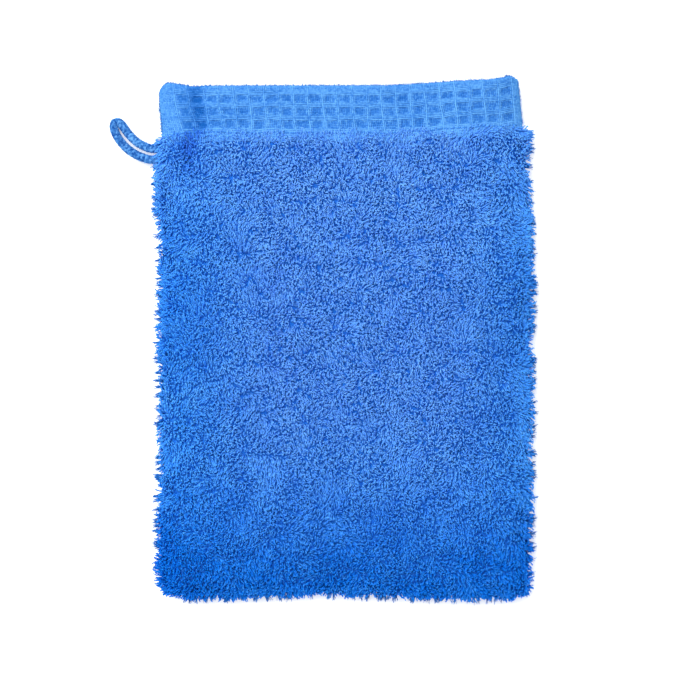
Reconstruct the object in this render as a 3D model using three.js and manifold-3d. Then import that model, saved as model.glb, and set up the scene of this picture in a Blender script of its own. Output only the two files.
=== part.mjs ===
// A terry wash mitt: a flat cotton pouch that a hand slips into, lying on its back panel.
// Two looped-pile panels are closed by an overlocked seam on both sides and the bottom. At the open
// end each panel carries a waffle-weave border, folded back inside as a hem, and a short cord loop
// is caught in the left side seam so that the mitt can hang on a hook.
//
// Units are millimetres, +Z is up. The mouth faces +Y and the hanging loop is on the -X side. The
// origin is under the middle of the mitt, on the surface that it lies on.
import * as THREE from "three";
import { mergeVertices } from "three/addons/utils/BufferGeometryUtils.js";
import Module from "manifold-3d";

// ---- Driving dimensions --------------------------------------------------------------------

const FABRIC_WIDTH = 150; // seam to seam
const FABRIC_LENGTH = 210; // bottom seam to the mouth edge
const PILE = 3; // how far the loops stand out past the fabric
const HEIGHT = 15.4; // of the filled-out mitt, from the surface it lies on to the top of the pile
const SEAM_HEIGHT = 4.8; // of the plane where the two panels meet
const PANEL_THICKNESS = 4.6; // cloth with its pile on both faces
const LIP = 2.2; // half the thickness of the pinched edge
const CORNER_RADIUS = 5;
const JOIN_GAP = 0.3; // between pieces that touch

const BORDER_LENGTH = 21.5; // mouth edge to the first row of pile
const BORDER_LEFT = -76.3; // its left side edge
const BORDER_RIGHT = 73.6; // its right side edge, where it meets the pile
const BORDER_TAPER = 2; // how far the right side edge draws in on its way to the mouth
const BORDER_HEIGHT = 13.4; // top of the front border
const BORDER_CLEARANCE = 0.4; // under the back border
const BORDER_LIP = 0.9; // half the thickness of the border's side edges
const LEAF = 1; // thickness of one layer of waffle cloth
const FOLD_LENGTH = 1.3; // of the folded edge at the mouth
const MOUTH_RISE = 3.5; // how much further the mouth reaches at its right-hand end
const MOUTH_RISE_START = 18; // where across the mouth its edge starts to climb
const MOUTH_RISE_END = 70; // and where it has climbed all of that

const ALLOWANCE_START = 4.4; // from the pile's edge to the seam line
const ALLOWANCE_WIDTH = 7.2;
const ALLOWANCE_THICKNESS = 1.6; // two layers of cloth, pressed flat
const ALLOWANCE_TIP = 0.7; // how far the seams' ends peep out past the mouth edge
const THREAD = 0.5; // thickness of the layer of sewing thread
const THREAD_GAP = 0.25; // between that layer and the cloth under it
const OVERLOCK_WIDTH = 2.6;

const CORD_DIAMETER = 3.4;
const CORD_FLAT = 2.4; // thickness of the cord's ends where the seam presses them
const LOOP_ROOTS = [78.5, 73.9]; // where along the left seam the cord leaves it and returns

// ---- Derived places --------------------------------------------------------------------------

const HALF_WIDTH = FABRIC_WIDTH / 2 + PILE;
const ALLOWANCE_OUT = HALF_WIDTH - ALLOWANCE_START;
const ALLOWANCE_IN = ALLOWANCE_OUT - ALLOWANCE_WIDTH;
const TIP_REACH = mouthRise(ALLOWANCE_IN) + ALLOWANCE_TIP; // of the right seam's end, past MOUTH
const BOTTOM = -(FABRIC_LENGTH + PILE + TIP_REACH) / 2;
const MOUTH = BOTTOM + PILE + FABRIC_LENGTH; // the level part of the mouth edge
const BORDER_START = MOUTH - BORDER_LENGTH;

const LIP_END = 3.4; // distances in from the pile's edge: the pinched lip, then the seam's room
const SEAM_ROOM_START = 4.2;
const SEAM_ROOM_END = 15.6;
const SEAM_ROOM = ALLOWANCE_THICKNESS / 2 + THREAD_GAP + THREAD + JOIN_GAP; // half its height

const LOOP_AXIS_X = -HALF_WIDTH - JOIN_GAP - CORD_DIAMETER / 2;
const LOOP_EXIT = [LOOP_ROOTS[1] - 2.7, LOOP_ROOTS[0] + 2.7]; // the seam is open between these

// The middle line of the hanging loop, from one root on the seam round the tip to the other.
const LOOP_ROUTE = [
  [LOOP_AXIS_X, LOOP_ROOTS[0], SEAM_HEIGHT],
  [-82.6, 79.5, 4.2],
  [-85.2, 80.9, 3.4],
  [-87.7, 83.0, 2.7],
  [-89.9, 85.5, 2.1],
  [-91.6, 87.9, 1.9],
  [-93.2, 89.5, 1.85],
  [-95.0, 89.3, 1.85],
  [-95.4, 87.4, 1.85],
  [-94.5, 84.7, 1.85],
  [-92.8, 81.9, 2.0],
  [-90.6, 79.4, 2.3],
  [-87.9, 77.2, 2.9],
  [-84.9, 75.5, 3.7],
  [-82.3, 74.5, 4.4],
  [LOOP_AXIS_X, LOOP_ROOTS[1], SEAM_HEIGHT],
];

// Distances in from a closed edge where a panel's grid has a line, closest where it curves most.
const EDGE_LINES = [0, 0.8, 2, LIP_END, SEAM_ROOM_START, 6, 9, SEAM_ROOM_END, 21, 28, 38, 56];

// ---- Shape functions -------------------------------------------------------------------------

// A soft edge: 0 at the edge, rising steeply and then levelling out at 1, reach in from it.
function crown(distance, reach) {
  const fullness = 2.2;
  const left = THREE.MathUtils.clamp(1 - distance / reach, 0, 1);
  return Math.pow(1 - Math.pow(left, fullness), 1 / fullness);
}

// How far a point lies inside the pouch's closed edges: both sides and the rounded bottom.
function edgeDistance(x, y) {
  const across = Math.abs(x) - (HALF_WIDTH - CORNER_RADIUS);
  const along = BOTTOM + CORNER_RADIUS - y;
  const past = across > 0 && along > 0 ? Math.hypot(across, along) : Math.max(across, along);
  return CORNER_RADIUS - past;
}

// Half the pouch's width at a height y, which the bottom corners' radius narrows.
function halfWidth(y) {
  const left = THREE.MathUtils.clamp(BOTTOM + CORNER_RADIUS - y, 0, CORNER_RADIUS);
  return HALF_WIDTH - CORNER_RADIUS + Math.sqrt(CORNER_RADIUS ** 2 - left ** 2);
}

// The mouth edge isn't square to the sides: it climbs towards its right-hand end.
function mouthRise(x) {
  const share = (x - MOUTH_RISE_START) / (MOUTH_RISE_END - MOUTH_RISE_START);
  return MOUTH_RISE * Math.pow(THREE.MathUtils.clamp(share, 0, 1), 1.2);
}

// Half the room between the panels, which lets in the seam allowances and the loop's two ends.
function seamRoom(x, y) {
  const distance = edgeDistance(x, y);
  const atLoop = x < 0 && y > LOOP_EXIT[0] - 0.1 && y < LOOP_EXIT[1] + 0.1;
  const open = distance <= SEAM_ROOM_END + 0.1 && (atLoop || distance > LIP_END + 0.1);
  return open ? SEAM_ROOM : JOIN_GAP / 2;
}

// How far the right side seam draws in towards the middle on its way up to the mouth.
function rightSeamShift(y) {
  const turn = THREE.MathUtils.clamp((y - BORDER_START + 9) / 12, 0, 1);
  const taper = THREE.MathUtils.clamp((y - BORDER_START) / BORDER_LENGTH, 0, 1);
  return -2.4 * turn - BORDER_TAPER * taper;
}

// ---- Building blocks -------------------------------------------------------------------------

// A closed sheet over a grid. place(a, b) gives the [x, y] where line a crosses line b, and
// lower(x, y, a, b) and upper(x, y, a, b) give the height of the sheet's two faces there.
function gridSheet(across, along, place, lower, upper) {
  const sheet = new THREE.BoxGeometry(2, 2, 2, across.length - 1, along.length - 1, 1);
  const points = sheet.getAttribute("position");
  const lineAt = (lines, t) => lines[Math.round(((t + 1) / 2) * (lines.length - 1))];
  for (let i = 0; i < points.count; i++) {
    const a = lineAt(across, points.getX(i));
    const b = lineAt(along, points.getY(i));
    const [x, y] = place(a, b);
    const face = points.getZ(i) > 0 ? upper : lower;
    points.setXYZ(i, x, y, face(x, y, a, b));
  }
  sheet.computeVertexNormals();
  return sheet;
}

function block(low, high, lengthSteps = 1) {
  const size = high.map((value, i) => value - low[i]);
  const box = new THREE.BoxGeometry(...size, 1, lengthSteps, 1);
  return box.translate(...low.map((value, i) => value + size[i] / 2));
}

// Moves each point of a piece across by an amount that depends on how far along the mitt it is.
function shiftAcross(geometry, shift) {
  const points = geometry.getAttribute("position");
  for (let i = 0; i < points.count; i++) {
    points.setX(i, points.getX(i) + shift(points.getY(i)));
  }
  geometry.computeVertexNormals();
  return geometry;
}

const wasm = await Module();
wasm.setup();

function toSolid(geometry) {
  const bare = geometry.clone();
  bare.deleteAttribute("normal");
  bare.deleteAttribute("uv");
  const merged = mergeVertices(bare, 1e-4);
  const triVerts = new Uint32Array(merged.index.array);
  const vertProperties = merged.getAttribute("position").array;
  return new wasm.Manifold(new wasm.Mesh({ numProp: 3, vertProperties, triVerts }));
}

function toGeometry(solid) {
  const mesh = solid.getMesh();
  const geometry = new THREE.BufferGeometry();
  geometry.setAttribute("position", new THREE.BufferAttribute(mesh.vertProperties, 3));
  geometry.setIndex(new THREE.BufferAttribute(mesh.triVerts, 1));
  geometry.computeVertexNormals();
  return geometry;
}

function joined(...geometries) {
  return toGeometry(geometries.map(toSolid).reduce((whole, piece) => whole.add(piece)));
}

function cut(geometry, tool) {
  return toGeometry(toSolid(geometry).subtract(toSolid(tool)));
}

// ---- Materials -------------------------------------------------------------------------------

const cotton = (color, roughness) =>
  new THREE.MeshStandardMaterial({ color, roughness, metalness: 0 });
const terry = cotton(0x3a7cdb, 0.95);
const waffle = cotton(0x4d97ec, 0.88);
const cordCotton = cotton(0x3f7fdc, 0.85);
const thread = cotton(0x2f6fd0, 0.7);

const mitt = new THREE.Group();

function add(name, geometry, material) {
  const mesh = new THREE.Mesh(geometry, material);
  mesh.name = name;
  mitt.add(mesh);
}

// ---- Terry panels ----------------------------------------------------------------------------

const PANEL_LENGTH = BORDER_START - JOIN_GAP / 2 - BOTTOM;
const PANEL_ACROSS = EDGE_LINES.map((distance) => distance - HALF_WIDTH);
PANEL_ACROSS.push(0, ...EDGE_LINES.map((distance) => HALF_WIDTH - distance).reverse());
const LOOP_LINES = [LOOP_EXIT[0] - 1.2, ...LOOP_EXIT, LOOP_EXIT[1] + 0.8];
const PANEL_ALONG = [...EDGE_LINES, 85, 115, 145, 165, ...LOOP_LINES.map((y) => y - BOTTOM)];
PANEL_ALONG.push(PANEL_LENGTH);

// The rows of the upper part lean with the mouth edge, more the nearer they are to it.
function panelPlace(x, along) {
  const y = BOTTOM + along;
  const narrowed = (x * halfWidth(y)) / HALF_WIDTH;
  const lean = Math.pow(along / PANEL_LENGTH, 6);
  return [narrowed, y + mouthRise(narrowed) * lean];
}

function frontOuter(x, y) {
  const rise = HEIGHT - SEAM_HEIGHT - LIP;
  return SEAM_HEIGHT + LIP + rise * crown(edgeDistance(x, y), 34);
}

function backOuter(x, y) {
  return (SEAM_HEIGHT - LIP) * (1 - crown(edgeDistance(x, y), 9));
}

function addTerryPanels() {
  const frontInner = (x, y) =>
    Math.max(frontOuter(x, y) - PANEL_THICKNESS, SEAM_HEIGHT + seamRoom(x, y));
  const backInner = (x, y) =>
    Math.min(backOuter(x, y) + PANEL_THICKNESS, SEAM_HEIGHT - seamRoom(x, y));
  const panel = (lower, upper) => gridSheet(PANEL_ACROSS, PANEL_ALONG, panelPlace, lower, upper);
  add("front_terry_panel", panel(frontInner, frontOuter), terry);
  add("back_terry_panel", panel(backOuter, backInner), terry);
}

// ---- Waffle borders and their folded hems ----------------------------------------------------

const HEM_START = 5; // from the border's side edges to the ends of its turned-up layer
const BORDER_LINES = [0, 0.7, 1.8, HEM_START, 10, 17, 30, 50]; // in from each side edge
const FOLD_START = BORDER_LENGTH - FOLD_LENGTH;
const HEM_PLACE = LEAF + JOIN_GAP; // from the outer face of a border to its turned-up layer

function borderLines(from) {
  const inward = BORDER_LINES.filter((distance) => distance >= from);
  const right = inward.map((distance) => BORDER_RIGHT - distance).reverse();
  return [...inward.map((distance) => BORDER_LEFT + distance), ...right];
}

// along is measured from the pile towards the mouth.
function borderPlace(across, along) {
  const taper = (BORDER_TAPER * Math.max(0, across) * along) / (BORDER_RIGHT * BORDER_LENGTH);
  return [across - taper, BORDER_START + along + mouthRise(across)];
}

function borderCrown(across, reach) {
  return crown(Math.min(across - BORDER_LEFT, BORDER_RIGHT - across), reach);
}

function frontBorderOuter(across) {
  const rise = BORDER_HEIGHT - SEAM_HEIGHT - BORDER_LIP;
  return SEAM_HEIGHT + BORDER_LIP + rise * borderCrown(across, 30);
}

function backBorderOuter(across) {
  const drop = SEAM_HEIGHT - BORDER_LIP - BORDER_CLEARANCE;
  return SEAM_HEIGHT - BORDER_LIP - drop * borderCrown(across, 10);
}

// One leaf up to the fold, and two leaves and the gap between them where the cloth turns back.
function leafDepth(across, along) {
  const besideHem = across < BORDER_LEFT + HEM_START || across > BORDER_RIGHT - HEM_START;
  const folded = along >= FOLD_START && !besideHem;
  return folded ? HEM_PLACE + LEAF : LEAF;
}

function addBorders() {
  const leafAlong = [0, 8, 16, FOLD_START - 0.3, FOLD_START, BORDER_LENGTH];
  const leaf = (lower, upper) => gridSheet(borderLines(0), leafAlong, borderPlace, lower, upper);
  const apart = JOIN_GAP / 2;
  const frontInner = (x, y, a, b) =>
    Math.max(frontBorderOuter(a) - leafDepth(a, b), SEAM_HEIGHT + apart);
  const backInner = (x, y, a, b) =>
    Math.min(backBorderOuter(a) + leafDepth(a, b), SEAM_HEIGHT - apart);
  add("front_waffle_border", leaf(frontInner, (x, y, a) => frontBorderOuter(a)), waffle);
  add("back_waffle_border", leaf((x, y, a) => backBorderOuter(a), backInner), waffle);
}

function addHemTurnups() {
  const along = [0.6, 8, 16, FOLD_START - 0.3 - JOIN_GAP];
  const hem = (lower, upper) =>
    gridSheet(borderLines(HEM_START), along, borderPlace, lower, upper);
  const inFront = (depth) => (x, y, a) => frontBorderOuter(a) - depth;
  const behind = (depth) => (x, y, a) => backBorderOuter(a) + depth;
  add("front_hem_turnup", hem(inFront(HEM_PLACE + LEAF), inFront(HEM_PLACE)), waffle);
  add("back_hem_turnup", hem(behind(HEM_PLACE), behind(HEM_PLACE + LEAF)), waffle);
}

// A row of stitches through both layers, on the plain stripe next to the pile.
function addHemStitches() {
  const along = [0.9, 1.6];
  const row = (lower, upper) => gridSheet(borderLines(1.8), along, borderPlace, lower, upper);
  const above = (offset) => (x, y, a) => frontBorderOuter(a) + offset;
  const below = (offset) => (x, y, a) => backBorderOuter(a) - offset;
  const near = 0.05;
  const far = near + 0.3;
  add("front_hem_stitch", row(above(near), above(far)), thread);
  add("back_hem_stitch", row(below(far), below(near)), thread);
}

// ---- Seam allowances and the overlock thread round their raw edges ----------------------------

const SIDE_SEAM_BOTTOM = BOTTOM + CORNER_RADIUS + 1.5;
const LOOP_END_DEPTH = 8; // how far the cord's ends reach in from the pile's edge
const SEAM_STEPS = 16;

function sideSeamLength(side) {
  return MOUTH + mouthRise(side * ALLOWANCE_IN) + ALLOWANCE_TIP - SIDE_SEAM_BOTTOM;
}

function sideAllowance(side) {
  const across = [side * ALLOWANCE_OUT, side * ALLOWANCE_IN].sort((a, b) => a - b);
  return block(
    [across[0], SIDE_SEAM_BOTTOM, SEAM_HEIGHT - ALLOWANCE_THICKNESS / 2],
    [across[1], SIDE_SEAM_BOTTOM + sideSeamLength(side), SEAM_HEIGHT + ALLOWANCE_THICKNESS / 2],
    SEAM_STEPS,
  );
}

function addAllowances() {
  const loopRoom = block(
    [-HALF_WIDTH, LOOP_EXIT[0], SEAM_HEIGHT - ALLOWANCE_THICKNESS],
    [-HALF_WIDTH + LOOP_END_DEPTH + JOIN_GAP, LOOP_EXIT[1], SEAM_HEIGHT + ALLOWANCE_THICKNESS],
  );
  const bottomEnd = ALLOWANCE_IN - 2;
  const bottom = block(
    [-bottomEnd, BOTTOM + ALLOWANCE_START, SEAM_HEIGHT - ALLOWANCE_THICKNESS / 2],
    [
      bottomEnd,
      BOTTOM + ALLOWANCE_START + ALLOWANCE_WIDTH,
      SEAM_HEIGHT + ALLOWANCE_THICKNESS / 2,
    ],
  );
  add("left_seam_allowance", cut(sideAllowance(-1), loopRoom), terry);
  add("right_seam_allowance", shiftAcross(sideAllowance(1), rightSeamShift), terry);
  add("bottom_seam_allowance", bottom, terry);
}

// A channel of thread, open towards +X, that clips over an allowance's edge. It runs along +Y.
function overlock(length) {
  const inside = ALLOWANCE_THICKNESS / 2 + THREAD_GAP;
  const outside = inside + THREAD;
  const bevel = 0.3;
  const outline = new THREE.Shape();
  outline.moveTo(OVERLOCK_WIDTH, -outside);
  outline.lineTo(OVERLOCK_WIDTH, -inside);
  outline.lineTo(THREAD, -inside);
  outline.lineTo(THREAD, inside);
  outline.lineTo(OVERLOCK_WIDTH, inside);
  outline.lineTo(OVERLOCK_WIDTH, outside);
  outline.lineTo(bevel, outside);
  outline.lineTo(0, outside - bevel);
  outline.lineTo(0, bevel - outside);
  outline.lineTo(bevel, -outside);
  const channel = new THREE.ExtrudeGeometry(outline, {
    depth: length,
    steps: SEAM_STEPS,
    bevelEnabled: false,
  });
  return channel.rotateX(Math.PI / 2).translate(0, length, 0);
}

function addOverlocks() {
  const raw = ALLOWANCE_IN - THREAD_GAP - THREAD;
  const left = overlock(sideSeamLength(-1))
    .rotateZ(Math.PI)
    .translate(-raw, SIDE_SEAM_BOTTOM + sideSeamLength(-1), SEAM_HEIGHT);
  const right = overlock(sideSeamLength(1)).translate(raw, SIDE_SEAM_BOTTOM, SEAM_HEIGHT);
  const length = 2 * (ALLOWANCE_IN - 4);
  const bottomRaw = BOTTOM + HALF_WIDTH - raw;
  const bottom = overlock(length)
    .rotateZ(-Math.PI / 2)
    .translate(-length / 2, bottomRaw, SEAM_HEIGHT);
  add("left_overlock_thread", left, thread);
  add("right_overlock_thread", shiftAcross(right, rightSeamShift), thread);
  add("bottom_overlock_thread", bottom, thread);
}

// ---- Hanging loop ------------------------------------------------------------------------------

// The cord's two ends, pressed flat in the side seam and held together by a bar of stitches.
function addLoopAnchor() {
  const bar = (outer, inner, low, high) =>
    block(
      [outer - HALF_WIDTH, low, SEAM_HEIGHT - CORD_FLAT / 2],
      [inner - HALF_WIDTH, high, SEAM_HEIGHT + CORD_FLAT / 2],
    );
  const half = 1.8;
  const ends = LOOP_ROOTS.map((root) => bar(0, LOOP_END_DEPTH, root - half, root + half));
  const tack = bar(5, 7, LOOP_ROOTS[1], LOOP_ROOTS[0]);
  add("loop_anchor", joined(...ends, tack), cordCotton);
}

function circle(radius, sides) {
  const points = [];
  for (let i = 0; i < sides; i++) {
    const angle = (2 * Math.PI * i) / sides;
    points.push(new THREE.Vector2(radius * Math.cos(angle), radius * Math.sin(angle)));
  }
  return new THREE.Shape(points);
}

// The free cord. It swings about the line through its two round roots.
function addHangingLoop() {
  const radius = CORD_DIAMETER / 2;
  const points = LOOP_ROUTE.map((point) => new THREE.Vector3(...point));
  const route = new THREE.CatmullRomCurve3(points, false, "centripetal");
  const tube = new THREE.ExtrudeGeometry(circle(radius, 10), { steps: 44, extrudePath: route });
  const roots = LOOP_ROOTS.map((y) => {
    const ball = new THREE.SphereGeometry(radius, 12, 8);
    return ball.rotateX(Math.PI / 2).translate(LOOP_AXIS_X, y, SEAM_HEIGHT);
  });
  add("hanging_loop", joined(tube, ...roots), cordCotton);
}

addTerryPanels();
addBorders();
addHemTurnups();
addHemStitches();
addAllowances();
addOverlocks();
addLoopAnchor();
addHangingLoop();

export default mitt;
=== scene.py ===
"""A blue terry wash mitt lying on its back panel: looks for Blender 4.5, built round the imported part.

The ground cloth is settled by a short cloth simulation, and the pile on it is real loops of yarn.
Shapes are worked out in millimetres and turned into metres where a mesh is made.
"""

import math

import bpy
import numpy as np
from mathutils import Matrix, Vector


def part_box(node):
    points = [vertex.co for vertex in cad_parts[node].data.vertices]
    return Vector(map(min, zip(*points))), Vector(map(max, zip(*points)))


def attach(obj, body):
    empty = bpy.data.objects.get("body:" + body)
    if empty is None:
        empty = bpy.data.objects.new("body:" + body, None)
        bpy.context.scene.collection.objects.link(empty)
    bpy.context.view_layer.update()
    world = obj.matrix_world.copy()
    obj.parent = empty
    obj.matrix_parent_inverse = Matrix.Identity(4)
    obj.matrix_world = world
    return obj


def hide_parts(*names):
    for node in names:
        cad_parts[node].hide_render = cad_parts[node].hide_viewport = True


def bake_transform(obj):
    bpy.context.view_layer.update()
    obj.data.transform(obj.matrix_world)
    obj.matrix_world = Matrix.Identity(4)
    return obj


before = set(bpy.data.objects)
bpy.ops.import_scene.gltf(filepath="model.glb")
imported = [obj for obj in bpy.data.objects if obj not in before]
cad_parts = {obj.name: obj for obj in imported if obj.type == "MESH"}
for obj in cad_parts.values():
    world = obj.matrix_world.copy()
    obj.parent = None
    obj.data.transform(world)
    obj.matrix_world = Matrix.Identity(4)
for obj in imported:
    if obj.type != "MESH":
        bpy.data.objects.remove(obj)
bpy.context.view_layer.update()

MM = 0.001
SEED = 20


def node_box(name):
    """The lowest and highest corner of a CAD node, in millimetres."""
    low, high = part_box(name)
    return np.array(low) / MM, np.array(high) / MM


# ---- Sizes, from the frame ----

PANEL_LOW, PANEL_HIGH = node_box("front_terry_panel")
BORDER_LOW, BORDER_HIGH = node_box("front_waffle_border")
ALLOWANCE_LOW, ALLOWANCE_HIGH = node_box("left_seam_allowance")

PILE = 3.0  # how far the loops stand out past the seam
HALF_WIDTH = PANEL_HIGH[0] - PILE + 0.2  # from the middle to each side seam
BOTTOM = PANEL_LOW[1] + PILE  # where the bottom seam is
SEAM_HEIGHT = (ALLOWANCE_LOW[2] + ALLOWANCE_HIGH[2]) / 2
GROUND_TOP = PANEL_HIGH[2] - 2.3  # height of the front ground cloth, under its pile
GROUND_BACK = 1.9  # height of the back ground cloth, over its pile
LEFT_CORNER, RIGHT_CORNER = 9.5, 4.5  # how far the seams are rounded at the two lower corners

BORDER_LENGTH = 21.5  # from the pile to the mouth
BORDER_START = BORDER_LOW[1]  # where the pile ends, on the left
BORDER_LEFT = BORDER_LOW[0]
BORDER_RIGHT = BORDER_HIGH[0]
BORDER_TAPER = 2.0  # how far the border's right-hand edge leans in on its way to the mouth
MOUTH_RISE = BORDER_HIGH[1] - BORDER_START - BORDER_LENGTH  # how much higher its right end is
MOUTH_RISE_START, MOUTH_RISE_END = 18.0, 70.0  # between which places across it climbs

CORD_DIAMETER = 3.5
LOOP_ROOTS = (78.5, 73.9)  # where along the left seam the cord leaves it and returns
# The free cord's middle line, in metres: out of the seam, round the tip and back to the seam.
LOOP_ROUTE = (
    (-0.0800, 0.0785, 0.0048),
    (-0.0826, 0.0795, 0.0042),
    (-0.0852, 0.0809, 0.0034),
    (-0.0877, 0.0830, 0.0027),
    (-0.0899, 0.0855, 0.0021),
    (-0.0916, 0.0879, 0.0019),
    (-0.0932, 0.0895, 0.00185),
    (-0.0950, 0.0893, 0.00185),
    (-0.0954, 0.0874, 0.00185),
    (-0.0945, 0.0847, 0.00185),
    (-0.0928, 0.0819, 0.0020),
    (-0.0906, 0.0794, 0.0023),
    (-0.0879, 0.0772, 0.0029),
    (-0.0849, 0.0755, 0.0037),
    (-0.0823, 0.0745, 0.0044),
    (-0.0800, 0.0739, 0.0048),
)
# Where the cord comes out from between the two panels, and where it goes back in, in metres.
ROOT_IN = (-0.0762, 0.0783, 0.0048)
ROOT_OUT = (-0.0762, 0.0739, 0.0048)


# ---- Numbers: noise, curves and soft steps ----


def soft_step(value, low, high):
    """0 below low, 1 above high, and smooth between them."""
    t = np.clip((value - low) / (high - low), 0, 1)
    return t * t * (3 - 2 * t)


def smooth_noise(seed, cell):
    """A function of x and y, from -1 to 1, that changes smoothly over about one cell."""
    table = np.random.default_rng(seed).uniform(-1, 1, (64, 64))

    def noise(x, y):
        column, row = x / cell + 1000.3, y / cell + 1000.7
        i, j = np.floor(column).astype(int), np.floor(row).astype(int)
        s, t = soft_step(column - i, 0, 1), soft_step(row - j, 0, 1)
        low = table[j % 64, i % 64] * (1 - s) + table[j % 64, (i + 1) % 64] * s
        high = table[(j + 1) % 64, i % 64] * (1 - s) + table[(j + 1) % 64, (i + 1) % 64] * s
        return low * (1 - t) + high * t

    return noise


def unit(vectors):
    """The vectors at length 1."""
    return vectors / np.maximum(np.linalg.norm(vectors, axis=-1, keepdims=True), 1e-9)


def square_to(way, vectors):
    """The vectors less what they have along the unit vectors in way."""
    return vectors - way * (vectors * way).sum(-1, keepdims=True)


def spline(points, steps):
    """A smooth line through the points, with steps points between each pair."""
    p = np.array(points, float)
    p = np.concatenate([[2 * p[0] - p[1]], p, [2 * p[-1] - p[-2]]])
    t = np.linspace(0, 1, steps, endpoint=False)[:, None]
    line = []
    for a, b, c, d in zip(p[:-3], p[1:-2], p[2:-1], p[3:]):
        bend = 2 * a - 5 * b + 4 * c - d
        line.append(0.5 * (2 * b + (c - a) * t + bend * t**2 + (3 * b - 3 * c + d - a) * t**3))
    return np.concatenate([*line, p[-2:-1]])


def distances_along(line):
    """How far along a line each of its points lies."""
    return np.concatenate([[0], np.cumsum(np.linalg.norm(np.diff(line, axis=0), axis=1))])


def points_along(line, at):
    """The points that lie at those distances along a line."""
    place = distances_along(line)
    return np.stack([np.interp(at, place, line[:, k]) for k in range(3)], -1)


# ---- Shape of the pouch ----

# How far the side seams stray from straight lines: y, and the left and the right one's shift.
SIDE_WANDER = (
    (-98, -0.2, -0.2), (-76, 0.3, -0.6), (-68, 0.0, 0.5), (-52, 1.0, -0.5),
    (-43, 0.6, -0.3), (-35, 0.6, 0.2), (-19, 0.7, 0.0), (-2, 0.1, -0.1),
    (14, 0.6, 0.2), (30, 1.0, 0.1), (47, 0.0, -0.3), (55, -0.7, -0.8),
    (72, -0.4, -1.6), (82, -0.5, -0.8), (88, 0.0, 0.0),
)


def crown(distance, reach):
    """A soft edge: 0 at the edge, rising steeply and then levelling out at 1, reach in from it."""
    left = np.clip(1 - distance / reach, 0, 1)
    return (1 - left**2.2) ** (1 / 2.2)


def seam_distance(x, y):
    """How far a point lies inside the seams: both sides and the rounded bottom."""
    corner = np.where(x < 0, LEFT_CORNER, RIGHT_CORNER)
    across = np.abs(x) - (HALF_WIDTH - corner)
    along = BOTTOM + corner - y
    from_centre = np.hypot(np.maximum(across, 0), np.maximum(along, 0))
    return corner - np.where((across > 0) & (along > 0), from_centre, np.maximum(across, along))


def mouth_rise(x):
    """How much further the mouth reaches at x: it climbs towards its right-hand end."""
    share = (x - MOUTH_RISE_START) / (MOUTH_RISE_END - MOUTH_RISE_START)
    return MOUTH_RISE * np.clip(share, 0, 1) ** 1.2


def pile_top(x):
    """Where the pile ends below the border, with a rounded shoulder at each side."""
    past = np.maximum(np.abs(x + 1) - 68, 0)
    return BORDER_START + mouth_rise(x) - 0.045 * past**2


def stray(x, y):
    """How far the cloth strays from an even outline, along x and along y."""
    place, left, right = np.array(SIDE_WANDER).T
    sideways = np.where(x < 0, np.interp(y, place, left), np.interp(y, place, right))
    bow = 0.5 + 1.5 * np.exp(-(((x + 8) / 32) ** 2))  # how far the bottom seam curves inward
    shift = sideways * soft_step(np.abs(x), 45, HALF_WIDTH)
    return shift, bow * (1 - soft_step(y, BOTTOM, BOTTOM + 25))


DIP_DEPTH, DIP_WIDTH = 1.8, 4.0


def corner_dip(x, y):
    """The hollow near the left seam, in the border and in the pile next to it."""
    fade = soft_step(y, BORDER_START - 22, BORDER_START - 4)
    middle = -64 + 4.5 * soft_step(y, BORDER_START - 6, BORDER_START + 5)
    middle = middle - 0.12 * np.maximum(y - BORDER_START - 5, 0)
    return DIP_DEPTH * fade * np.exp(-(((x - middle) / DIP_WIDTH) ** 2))


# ---- Meshes ----


def add_object(name, data):
    """A new object in the scene."""
    thing = bpy.data.objects.new(name, data)
    bpy.context.scene.collection.objects.link(thing)
    return thing


def make_piece(name, points, faces, looks, **attributes):
    """A mesh object from points in millimetres. looks is its material and the name of a slot, which is
    not used.
    Each attribute is one number for all the points, or an array with one for each."""
    material, slot = looks
    mesh = bpy.data.meshes.new(name)
    flat = np.ascontiguousarray(points, dtype=np.float32).reshape(-1, 3) * MM
    corners = np.ascontiguousarray(faces, dtype=np.int32)
    mesh.vertices.add(len(flat))
    mesh.vertices.foreach_set("co", flat.ravel())
    mesh.loops.add(corners.size)
    mesh.loops.foreach_set("vertex_index", corners.ravel())
    mesh.polygons.add(len(corners))
    mesh.polygons.foreach_set("loop_start", np.arange(len(corners)) * corners.shape[1])
    mesh.polygons.foreach_set("use_smooth", np.full(len(corners), True))
    mesh.update(calc_edges=True)
    for key, values in attributes.items():
        layer = mesh.attributes.new(key, "FLOAT", "POINT")
        layer.data.foreach_set("value", np.full(len(flat), np.ravel(values), np.float32))
    piece = add_object(name, mesh)
    piece.data.materials.append(material)
    return piece


def quads(index, wrap=False):
    """The quads between neighbouring rows and columns of a grid of vertex numbers."""
    right = np.roll(index, -1, axis=-1)
    if not wrap:
        index, right = index[..., :-1], right[..., :-1]
    corners = [index[..., :-1, :], right[..., :-1, :], right[..., 1:, :], index[..., 1:, :]]
    return np.stack(corners, -1).reshape(-1, 4)


def normals_of(grid):
    """The upward normals of a grid of points whose columns run along +X and rows along +Y."""
    return unit(np.cross(np.gradient(grid, axis=1), np.gradient(grid, axis=0)))


def thick_sheet(grid, thickness):
    """The points and faces of a closed sheet of that thickness, round a grid of points."""
    rows, columns = grid.shape[:2]
    half = normals_of(grid) * thickness / 2
    count = rows * columns
    upper = np.arange(count).reshape(rows, columns)
    lower = upper + count
    rim = np.concatenate([upper[0, :-1], upper[:-1, -1], upper[-1, :0:-1], upper[:0:-1, 0]])
    beyond = np.roll(rim, -1)
    sides = np.stack([rim, rim + count, beyond + count, beyond], -1)
    faces = np.concatenate([quads(upper), quads(lower)[:, ::-1], sides])
    return np.concatenate([(grid + half).reshape(-1, 3), (grid - half).reshape(-1, 3)]), faces


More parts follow.
